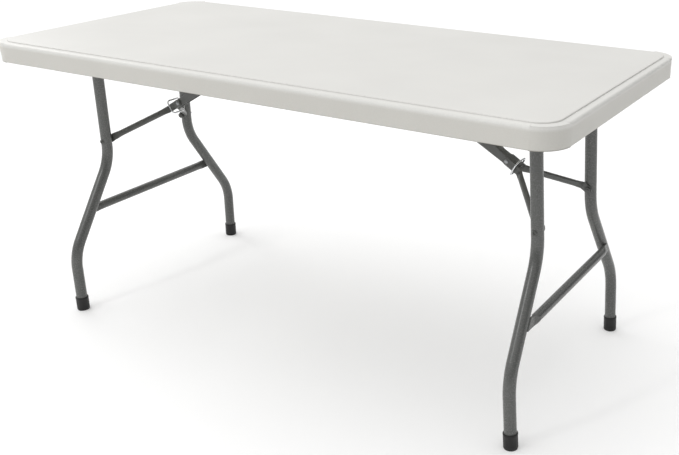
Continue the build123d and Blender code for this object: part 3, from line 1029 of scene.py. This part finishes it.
@dataclass
class LegFrame:
    """Two bent legs on a hinge tube, a crossbar welded across them, and their foot caps.

    Attributes:
        side: the end of the table that it holds up.
        fitter: what fits the finished pieces.
        lean: angle of the legs from upright, seen from the front.
        tube_radius: outside radius of a leg.
        top_y: distance of a leg's upper part from the middle.
        foot_y: distance of its foot from the middle.
        bend_radius: radius of both bends, on the tube's centre line.
        bend_z: heights of the upper and the lower bend.
        cap_floor: thickness of plastic between a leg's end and the floor.
        cap_height: height of a foot cap.
        cap_play: clearance between a cap's bore and its leg.
        cap_mouth: width and depth of the chamfer at the bore's mouth.
        cap_steps: faces round a cap.
        flute_every: number of faces from one flute to the next.
        flute_span: heights of the flutes' ends, from the floor up and from the cap's upper edge down.
        flute_wall: least wall outside the bore where a flute is cut.
        flute_share: radius of a flute's floor as a share of the wall's.
        crossbar_z: height of the crossbar.
        crossbar_radius: its radius where it is round.
        flat: half width and half thickness of its flat ends.
        flat_start_y: distance from the middle at which an end is flat.
        taper: length over which it goes from round to flat.
        saddle: how far its flat ends are hollowed to sit on the legs.
        setback: distance of its cut ends from the legs' centre lines.
        bead: radius of a weld bead.
        bead_sides: faces round the upper bead's section, an even number.
        bead_sink: how deep the upper bead and the crossbar's bead sink into the leg.
        head_weld_drop: distance of the upper bead's centre from the hinge line.
    """

    side: Side
    fitter: Fitter
    lean: float = radians(2.95)
    tube_radius: float = 14.3 * MM
    top_y: float = 149 * MM
    foot_y: float = 300 * MM
    bend_radius: float = 135 * MM
    bend_z: tuple[float, float] = (395 * MM, 166 * MM)
    cap_floor: float = 6 * MM
    cap_height: float = 39 * MM
    cap_play: float = 0.05 * MM
    cap_mouth: tuple[float, float] = (0.4 * MM, 0.6 * MM)
    cap_steps: int = 48
    flute_every: int = 4
    flute_span: tuple[float, float] = (7 * MM, 5.5 * MM)
    flute_wall: float = 1 * MM
    flute_share: float = 0.976
    crossbar_z: float = 267 * MM
    crossbar_radius: float = 11.1 * MM
    flat: tuple[float, float] = (12.5 * MM, 2.5 * MM)
    flat_start_y: float = 209 * MM
    taper: float = 20 * MM
    saddle: float = 2.5 * MM
    setback: float = 4 * MM
    bead: float = 1.8 * MM
    bead_sides: int = 8
    bead_sink: tuple[float, float] = (0.4 * MM, 0.3 * MM)
    head_weld_drop: float = 11.2 * MM

    def __post_init__(self) -> None:
        """Take the hinge line from the frame, and find where the crossbar meets the legs."""
        self.hinge = node_centre("hinge_tube_right")
        self.down = Vector((sin(self.lean), 0, -cos(self.lean)))
        self.outward = Vector((cos(self.lean), 0, sin(self.lean)))
        self.body = f"leg_frame_{self.side.value}"
        upper = self.point(self.bend_z[0], self.top_y)
        lower = self.point(self.bend_z[1], self.foot_y)
        drop = (lower - upper).dot(self.down)
        self.slope = (lower.y - upper.y) / drop
        crossing = self.point(self.crossbar_z, 0) - upper
        self.crossing_y = self.top_y + self.slope * crossing.dot(self.down)

    def point(self, z: float, y: float) -> Vector:
        """Point on the plane of the legs at a height and a distance from the middle."""
        return self.hinge + self.down * ((self.hinge.z - z) / cos(self.lean)) + Vector((0, y, 0))

    def node(self, name: str, row: Optional[Row] = None) -> str:
        """Name of a CAD node of this frame."""
        middle = f"_{row.value}" if row else ""
        return f"{name}{middle}_{self.side.value}"

    def leg(self) -> bmesh.types.BMesh:
        """Bend the right front leg.

        Returns:
            The leg, closed at both ends.
        """
        upper = self.point(self.bend_z[0], -self.top_y)
        lower = self.point(self.bend_z[1], -self.foot_y)
        slope = (lower - upper).normalized()
        angle = self.down.angle(slope)
        tangent = self.bend_radius * tan(angle / 2)
        tube = BentTube(self.tube_radius, self.hinge + Vector((0, -self.top_y, 0)), self.down.copy())
        tube.feed((upper - tube.at).length - tangent)
        tube.bend(-angle, self.bend_radius, self.outward)
        tube.feed((lower - upper).length - 2 * tangent)
        tube.bend(angle, self.bend_radius, self.outward)
        tube.feed((self.point(self.cap_floor, -self.foot_y) - tube.at).length)
        return tube.close()

    def hinge_tube(self) -> bmesh.types.BMesh:
        """Make the tube across the head of the frame.

        Returns:
            The tube, closed at both ends.
        """
        low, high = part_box("hinge_tube_right")
        tube = BentTube((high[2] - low[2]) / 2, Vector((self.hinge.x, low[1], self.hinge.z)), Y_AXIS.copy())
        tube.feed(high[1] - low[1])
        return tube.close()

    def head_weld(self) -> bmesh.types.BMesh:
        """Lay the weld bead where the right front leg meets the hinge tube.

        Returns:
            The bead, a ring round the leg.
        """
        ring = self.tube_radius - self.bead_sink[0]
        half_turn = self.bead_sides // 2
        turns = [pi * step / half_turn for step in range(-half_turn, half_turn + 1)]
        profile = [(ring + self.bead * cos(turn), self.bead * sin(turn)) for turn in turns]
        start = self.hinge + Vector((0, -self.top_y, 0)) + self.down * self.head_weld_drop
        return turned(profile, frame_at(start, self.down, Y_AXIS), LARGE_TURN)

    def crossbar_weld(self) -> bmesh.types.BMesh:
        """Lay the weld bead along the cut end of the crossbar, on the right front leg.

        Returns:
            The bead, a short rod.
        """
        along = (self.down - Y_AXIS * self.slope).normalized()
        half = self.flat[0] * hypot(1, self.slope)
        middle = self.point(self.crossbar_z, -self.crossing_y + self.setback)
        start = middle + self.outward * (self.tube_radius - self.bead_sink[1]) - along * (half - self.bead)
        rod = BentTube(self.bead, start, along, ROD_TURN)
        rod.feed(2 * (half - self.bead))
        return rod.close()

    def crossbar(self) -> bmesh.types.BMesh:
        """Make the crossbar: a round tube with its ends pressed flat and cut along the legs' slope.

        Returns:
            The crossbar, closed at both ends.
        """
        offset = self.tube_radius - self.saddle + self.flat[1]
        start = self.point(self.crossbar_z, 0) + self.outward * offset
        halves = []
        for row in Row:
            along = Y_AXIS * row.sign
            tube = PressedTube(self.crossbar_radius, self.outward)
            tube.start(start, self.down)
            taper_start = start + along * (self.flat_start_y - self.taper)
            flat_start = start + along * self.flat_start_y
            tube.step(taper_start, self.down, self.crossbar_radius, self.crossbar_radius)
            tube.squeeze(taper_start, flat_start, self.down, self.flat[0], self.flat[1])
            end = start + along * (self.crossing_y - self.setback)
            tube.cut_off(end, along, self.down, self.flat[0], self.flat[1], self.slope)
            halves.append(tube.bm)
        return settle(joined(halves), JOIN_GAP)

    def foot_cap(self) -> bmesh.types.BMesh:
        """Turn the right front foot cap, flute it and cut it level with the floor.

        Returns:
            The cap, in its place.
        """
        low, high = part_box("foot_cap_front_right")
        outer = (high[1] - low[1]) / 2
        bore = self.tube_radius + self.cap_play
        height = self.cap_height
        profile = [(0.0, CAP_WALL[0][1] * MM)]
        profile += [(outer - inset * MM, rise * MM) for inset, rise in CAP_WALL]
        profile += [(outer - inset * MM, height - drop * MM) for inset, drop in CAP_LIP]
        profile += [(bore + self.cap_mouth[0], height), (bore, height - self.cap_mouth[1])]
        profile += [(bore, self.cap_floor), (0.0, self.cap_floor)]
        foot = self.point(0, -self.foot_y)
        bm = turned(profile, Matrix.Identity(4), self.cap_steps)
        for vert in bm.verts:
            place = round(atan2(vert.co.y, vert.co.x) / (2 * pi / self.cap_steps))
            between = self.flute_span[0] < vert.co.z < height - self.flute_span[1]
            outside = hypot(vert.co.x, vert.co.y) > bore + self.flute_wall
            if between and outside and place % self.flute_every == 0:
                vert.co.xy *= self.flute_share
        bmesh.ops.transform(bm, matrix=frame_at(foot, -self.down, Y_AXIS), verts=bm.verts)
        cut = bmesh.ops.bisect_plane(
            bm, geom=bm.verts[:] + bm.edges[:] + bm.faces[:], dist=MERGE_GAP, plane_co=(0, 0, 0),
            plane_no=-Z_AXIS, clear_outer=True,
        )["geom_cut"]
        bmesh.ops.holes_fill(bm, edges=only(bmesh.types.BMEdge, cut), sides=0)
        return settle(bm)

    def bolt_heads(self) -> bmesh.types.BMesh:
        """Make both brace bolts, each with a dished round head on its leg's outer side.

        Returns:
            Both bolts.
        """
        bolt = node_centre("brace_bolts_right")
        profile = in_metres(BOLT_HEAD)
        heads = []
        for row in Row:
            place = Vector((bolt.x, row.sign * (self.top_y + self.tube_radius), bolt.z))
            heads.append(turned(profile, frame_at(place, Y_AXIS * row.sign, X_AXIS), SMALL_TURN))
        return joined(heads)

    def build(self) -> None:
        """Build the frame and fit its pieces."""
        x = self.side.sign
        leg = self.leg()
        cap = self.foot_cap()
        for row in Row:
            y = -row.sign
            self.fitter.fit(mirrored(leg, x, y), f"bent_leg_{row.value}_{self.side.value}", self.body,
                            "painted_tube", [self.node("leg", row)])
            self.fitter.fit(mirrored(cap, x, y), f"floor_cap_{row.value}_{self.side.value}", self.body,
                            "cap_plastic", [self.node("foot_cap", row)])
        leg.free()
        cap.free()
        welds = joined([self.head_weld(), self.crossbar_weld()])
        beads = joined([mirrored(welds, x, 1), mirrored(welds, x, -1)])
        welds.free()
        self.fitter.fit(beads, f"weld_beads_{self.side.value}", self.body, "painted_tube")
        for bm, name, slot, node in (
            (self.hinge_tube(), "head_tube", "painted_tube", "hinge_tube"),
            (self.crossbar(), "stretcher_bar", "painted_tube", "lower_crossbar"),
            (self.bolt_heads(), "leg_bolts", "painted_brace", "brace_bolts"),
        ):
            self.fitter.fit(mirrored(bm, x, 1), f"{name}_{self.side.value}", self.body, slot,
                            [self.node(node)])
            bm.free()


# ---- a folding brace ----


@dataclass
class Brace:
    """The Y-shaped brace: a channel from the top, two struts to the legs, and the ring that locks them.

    Attributes:
        side: the end of the table that it holds open.
        fitter: what fits the finished pieces.
        half_width: half the channel's width.
        half_depth: half its depth below the shoulder.
        step: how much deeper it is above the shoulder.
        wall: thickness of its sheet.
        fold_radius: radius of its folds.
        tail: length past the elbow rivet.
        shoulder: distances of the shoulder's ends from the rivet.
        strut_radius: radius of a strut where it is round.
        plate: half width and half thickness of its flat ends.
        stem: length of the straight flat part at the elbow.
        tab: length of the flat part at the leg.
        taper: length over which a strut goes from round to flat.
        gap: side clearance between moving faces.
        leg_inner_y: distance of a leg's inner side from the middle.
        nut_half: half a nut's width across its flats.
        nut_height: its height.
        nut_rise: height of its middle above the washer's seat.
        nut_chamfer: width of the bevel on its corners.
        wire_radius: radius of the ring's wire.
        ring_inner: width and height inside the ring.
        ring_corner: radius of its corners on the wire's centre line.
    """

    side: Side
    fitter: Fitter
    half_width: float = 11 * MM
    half_depth: float = 10 * MM
    step: float = 3 * MM
    wall: float = 1.8 * MM
    fold_radius: float = 2.4 * MM
    tail: float = 34 * MM
    shoulder: tuple[float, float] = (40 * MM, 24 * MM)
    strut_radius: float = 8 * MM
    plate: tuple[float, float] = (9.5 * MM, 2 * MM)
    stem: float = 36 * MM
    tab: float = 16 * MM
    taper: float = 24 * MM
    gap: float = 0.3 * MM
    leg_inner_y: float = 134.7 * MM
    wire_radius: float = 2 * MM
    nut_half: float = 6.5 * MM
    nut_height: float = 4.8 * MM
    nut_rise: float = 3.6 * MM
    nut_chamfer: float = 0.7 * MM
    ring_inner: tuple[float, float] = (41 * MM, 32 * MM)
    ring_corner: float = 9 * MM

    def __post_init__(self) -> None:
        """Take the pivot, the elbow and the bolts from the frame."""
        self.pivot = node_centre("brace_pivot_pin_right")
        self.elbow = node_centre("elbow_rivet_right")
        self.bolt = node_centre("brace_nuts_right")
        self.run = self.elbow - self.pivot
        self.along = self.run.normalized()
        self.rise = Y_AXIS.cross(-self.along).normalized()
        self.reach = self.bolt - self.elbow
        self.reach.y = 0
        self.strut_along = self.reach.normalized()
        self.strut_rise = Y_AXIS.cross(-self.strut_along).normalized()
        self.stem_y = self.half_width + self.gap + self.plate[1]
        self.tab_y = self.leg_inner_y - self.gap - self.plate[1]

    def channel(self) -> bmesh.types.BMesh:
        """Fold the channel: a side view extruded, opened below and given its wall.

        Returns:
            The right channel.
        """
        length = self.run.length
        upper = self.half_depth + self.step
        outline = [
            (-self.half_depth, -self.half_depth), (length + self.tail, -self.half_depth),
            (length + self.tail, self.half_depth), (length - self.shoulder[1], self.half_depth),
            (length - self.shoulder[0], upper), (-self.half_depth, upper),
        ]
        start = self.pivot + Y_AXIS * self.half_width
        turn = Matrix((self.along, self.rise, -Y_AXIS)).transposed().to_4x4()
        bm = slab(outline, 2 * self.half_width, Matrix.Translation(start) @ turn)
        ends = []
        for face in bm.faces:
            level = face.normal.dot(self.along)
            if abs(level) > SQUARE_ON or face.normal.dot(self.rise) < -SQUARE_ON:
                ends.append(face)
        bmesh.ops.delete(bm, geom=ends, context="FACES")
        folds = []
        for edge in bm.edges:
            crosses = abs((edge.verts[0].co - edge.verts[1].co).normalized().y) > SQUARE_ON
            if len(edge.link_faces) == 2 and not crosses:
                folds.append(edge)
        round_edges(bm, folds, self.fold_radius, FOLD_STEPS)
        bmesh.ops.recalc_face_normals(bm, faces=bm.faces)
        top = max(bm.faces, key=lambda face: face.calc_area())
        if top.normal.dot(top.calc_center_median() - (self.pivot + self.run / 2)) < 0:
            bmesh.ops.reverse_faces(bm, faces=bm.faces)
        bmesh.ops.solidify(bm, geom=bm.faces[:], thickness=self.wall)
        return settle(bm)

    def strut(self) -> bmesh.types.BMesh:
        """Press the right front strut: round in the middle, flat at the elbow and at the leg.

        Returns:
            The strut, closed.
        """
        stem_end = self.elbow + self.strut_along * self.stem - Y_AXIS * self.stem_y
        tab_start = self.elbow + self.strut_along * (self.reach.length - self.tab) - Y_AXIS * self.tab_y
        middle = (stem_end + tab_start) / 2
        halves = []
        for flat, end, along in (
            (stem_end, self.elbow - Y_AXIS * self.stem_y, -self.strut_along),
            (tab_start, self.elbow + self.reach - Y_AXIS * self.tab_y, self.strut_along),
        ):
            tube = PressedTube(self.strut_radius, Y_AXIS)
            tube.start(middle, self.strut_rise)
            taper_start = flat + (middle - flat).normalized() * self.taper
            tube.step(taper_start, self.strut_rise, self.strut_radius, self.strut_radius)
            tube.squeeze(taper_start, flat, self.strut_rise, self.plate[0], self.plate[1])
            tube.round_off(end, along, self.strut_rise, self.plate[0], self.plate[1])
            halves.append(tube.bm)
        return settle(joined(halves), JOIN_GAP)

    def rivet(self) -> bmesh.types.BMesh:
        """Make the elbow rivet, with a low domed head at each end.

        Returns:
            The rivet.
        """
        seat = self.half_width + 2 * self.gap + 2 * self.plate[1]
        profile = [(radius, seat + height) for radius, height in in_metres(RIVET_CROWN)]
        profile += [(radius, -height) for radius, height in reversed(profile)]
        return turned(profile, frame_at(self.elbow, Y_AXIS, X_AXIS), SMALL_TURN)

    def nuts(self) -> bmesh.types.BMesh:
        """Make both nuts, with a washer under each and the bolt's end through it.

        Returns:
            Both nuts with their washers and bolt ends.
        """
        inner = self.tab_y - self.plate[1]
        corner = self.nut_half / cos(pi / 6)
        shapes = []
        for row in Row:
            inward = Y_AXIS * -row.sign
            base = Vector((self.bolt.x, row.sign * inner, self.bolt.z))
            shapes.append(turned(in_metres(WASHER), frame_at(base, inward, X_AXIS), SMALL_TURN))
            shapes.append(turned(in_metres(STUD), frame_at(base, inward, X_AXIS), STUD_TURN))
            nut = bmesh.new()
            bmesh.ops.create_cone(
                nut, cap_ends=True, segments=6, radius1=corner, radius2=corner, depth=self.nut_height,
                matrix=frame_at(base + inward * self.nut_rise, inward, X_AXIS),
            )
            rims = [edge for edge in nut.edges if abs((edge.verts[0].co - edge.verts[1].co).y) < MERGE_GAP]
            round_edges(nut, rims, self.nut_chamfer, NUT_STEPS)
            shapes.append(nut)
        return joined(shapes)

    def ring(self) -> bmesh.types.BMesh:
        """Bend the lock ring from one length of wire and close it on itself.

        Returns:
            The right ring.
        """
        centre = node_centre("lock_ring_right")
        width = self.ring_inner[0] + 2 * self.wire_radius - 2 * self.ring_corner
        height = self.ring_inner[1] + 2 * self.wire_radius - 2 * self.ring_corner
        start = centre + self.rise * (height / 2 + self.ring_corner) - Y_AXIS * (width / 2)
        wire = BentTube(self.wire_radius, start, Y_AXIS.copy(), STUD_TURN)
        for length in (width, height, width, height):
            wire.feed(length)
            wire.bend(-pi / 2, self.ring_corner, self.along)
        return wire.close(ends=False)

    def build(self) -> None:
        """Build the brace and fit its pieces."""
        x = self.side.sign
        tag = self.side.value
        strut = self.strut()
        for row in Row:
            end = f"{row.value}_{tag}"
            self.fitter.fit(mirrored(strut, x, -row.sign), f"pressed_strut_{end}", f"struts_{tag}",
                            "painted_brace", [f"brace_strut_{end}"])
        strut.free()
        for bm, name, body, slot, node in (
            (self.channel(), "folded_channel", "channel", "painted_brace", "brace_channel"),
            (self.rivet(), "joint_rivet", "channel", "plated_fastener", "elbow_rivet"),
            (self.nuts(), "leg_nuts", "struts", "painted_brace", "brace_nuts"),
            (self.ring(), "wire_ring", "ring", "plated_wire", "lock_ring"),
        ):
            self.fitter.fit(mirrored(bm, x, 1), f"{name}_{tag}", f"{body}_{tag}", slot, [f"{node}_{tag}"])
            bm.free()


# ---- what stays as the frame made it ----


def paint_kept_nodes(book: FinishBook) -> None:
    """Give every CAD node the finish of its material slot, which shows on those that no piece replaces.

    Args:
        book: every finish.
    """
    slots = {row["node"]: row["material_slot"] for row in frame["record"]["subparts"]}
    for name, node in frame["nodes"].items():
        node.data.materials.clear()
        node.data.materials.append(book.materials[slots[name]])
        log.info("painted %s", name)


# ---- the studio ----


@dataclass(frozen=True)
class SoftLamp:
    """A square soft lamp.

    Attributes:
        name: its name.
        at: its place.
        aim: the point that it faces.
        size: length of its side.
        power: its power in watts.
    """

    name: str
    at: tuple[float, float, float]
    aim: tuple[float, float, float]
    size: float
    power: float

    def hang(self) -> None:
        """Hang the lamp in its place."""
        data = bpy.data.lights.new(self.name, "AREA")
        data.shape = "SQUARE"
        data.size = self.size
        data.energy = self.power
        lamp = bpy.data.objects.new(self.name, data)
        away = Vector(self.at) - Vector(self.aim)
        lamp.matrix_world = Matrix.Translation(self.at) @ away.to_track_quat("Z", "Y").to_matrix().to_4x4()
        bpy.context.scene.collection.objects.link(lamp)


@dataclass
class Studio:
    """A white floor, a pale surround, soft lamps and the camera.

    Attributes:
        eye: the camera's place.
        yaw: its turn from +Y towards +X.
        pitch: its tilt downwards.
        roll: its turn about its own line of sight.
        sensor: width of its sensor in millimetres.
        lens: its focal length in millimetres.
        shift: sideways and upward shift of the lens.
        floor_half: half the floor's side.
        floor_tone: hex colour of the floor.
        floor_rough: its roughness.
        floor_glow: light that the floor gives by itself, as a lit table does.
        sky_slope: brightness that the surround gains along X, Y and Z.
        sky_least: its brightness where it is dimmest.
        backdrop: its brightness as the camera sees it.
        lamps: the soft lamps.
    """

    eye: Vector = field(default_factory=lambda: Vector((1.36479, -1.78592, 1.20960)))
    yaw: float = -0.4981
    pitch: float = 0.4382
    roll: float = 0.0036
    sensor: float = 36.0
    lens: float = 48.98
    shift: tuple[float, float] = (-0.1901, 0.0519)
    floor_half: float = 150.0
    floor_tone: str = "EFEFEF"
    floor_rough: float = 0.95
    floor_glow: float = 0.13
    sky_slope: tuple[float, float, float] = (-0.45, 0.0, 1.65)
    sky_least: float = 0.02
    backdrop: float = 1.0
    lamps: tuple[SoftLamp, ...] = (
        SoftLamp("front_lamp", at=(-1.4, -3.5, 2.65), aim=(0, 0, 0.5), size=0.3, power=16.0),
        SoftLamp("left_softbox", at=(-2.6, 0.6, 2.0), aim=(-0.3, 0, 0.7), size=0.9, power=8.0),
    )

    def camera(self) -> None:
        """Stand the camera and make it the scene's own."""
        ahead = Vector((sin(self.yaw), cos(self.yaw), 0))
        forward = ahead * cos(self.pitch) - Z_AXIS * sin(self.pitch)
        level = Vector((cos(self.yaw), -sin(self.yaw), 0))
        upright = level.cross(forward)
        across = level * cos(self.roll) + upright * sin(self.roll)
        above = upright * cos(self.roll) - level * sin(self.roll)
        data = bpy.data.cameras.new("studio_camera")
        data.sensor_width = self.sensor
        data.lens = self.lens
        data.shift_x, data.shift_y = self.shift
        camera = bpy.data.objects.new("studio_camera", data)
        turn = Matrix((across, above, -forward)).transposed().to_4x4()
        camera.matrix_world = Matrix.Translation(self.eye) @ turn
        bpy.context.scene.collection.objects.link(camera)
        bpy.context.scene.camera = camera

    def floor(self) -> None:
        """Lay the floor, white from above and clear from below."""
        material = bpy.data.materials.new("white_paper_sweep")
        material.use_nodes = True
        tree = material.node_tree
        shader = tree.nodes["Principled BSDF"]
        for name, value in {
            "Base Color": linear(self.floor_tone),
            "Roughness": self.floor_rough,
            "Specular IOR Level": 0.0,
            "Emission Color": linear(WHITE),
            "Emission Strength": self.floor_glow,
        }.items():
            shader.inputs[name].default_value = value
        below = add_node(tree, "ShaderNodeNewGeometry").outputs["Backfacing"]
        clear = add_node(tree, "ShaderNodeBsdfTransparent").outputs["BSDF"]
        surface = add_node(
            tree, "ShaderNodeMixShader", {0: below, 1: shader.outputs["BSDF"], 2: clear}
        ).outputs["Shader"]
        tree.links.new(surface, tree.nodes["Material Output"].inputs["Surface"])
        bm = bmesh.new()
        bmesh.ops.create_grid(bm, x_segments=1, y_segments=1, size=self.floor_half)
        mesh = bpy.data.meshes.new("studio_floor")
        bm.to_mesh(mesh)
        bm.free()
        mesh.materials.append(material)
        piece = bpy.data.objects.new("studio_floor", mesh)
        bpy.context.scene.collection.objects.link(piece)

    def surround(self) -> None:
        """Light the room brightly from above and dimly from the right, before a white backdrop."""
        world = bpy.data.worlds.new("pale_surround")
        bpy.context.scene.world = world
        world.use_nodes = True
        tree = world.node_tree
        where = add_node(tree, "ShaderNodeTexCoord").outputs["Generated"]
        slope = add_node(
            tree, "ShaderNodeVectorMath", {0: where, 1: self.sky_slope}, operation="DOT_PRODUCT"
        ).outputs["Value"]
        bright = add_node(
            tree, "ShaderNodeMath", {0: slope, 1: self.sky_least}, operation="MAXIMUM"
        ).outputs["Value"]
        seen = add_node(tree, "ShaderNodeLightPath").outputs["Is Camera Ray"]
        levels = {NUMBER_A: bright, NUMBER_B: self.backdrop}
        shown = add_node(
            tree, "ShaderNodeMix", {FACTOR: seen, **levels}, data_type="FLOAT"
        ).outputs[NUMBER_OUT]
        background = tree.nodes["Background"]
        background.inputs["Color"].default_value = linear(WHITE)
        tree.links.new(shown, background.inputs["Strength"])

    def build(self) -> None:
        """Set up the whole studio."""
        self.camera()
        self.floor()
        self.surround()
        for lamp in self.lamps:
            lamp.hang()


def main() -> None:
    """Build the table and its studio in order."""
    logging.basicConfig(level=logging.INFO, format="%(message)s")
    view = bpy.context.scene.view_settings
    view.view_transform = "Standard"
    skirt_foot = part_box("tabletop")[0][2]
    book = FinishBook(skirt_foot)
    fitter = Fitter(book)
    BlowMouldedTop().build(fitter)
    for side in Side:
        LegFrame(side, fitter).build()
        Brace(side, fitter).build()
    paint_kept_nodes(book)
    Studio().build()
    log.info("fitted %d pieces", fitter.count)


if __name__ == "__main__":
    main()
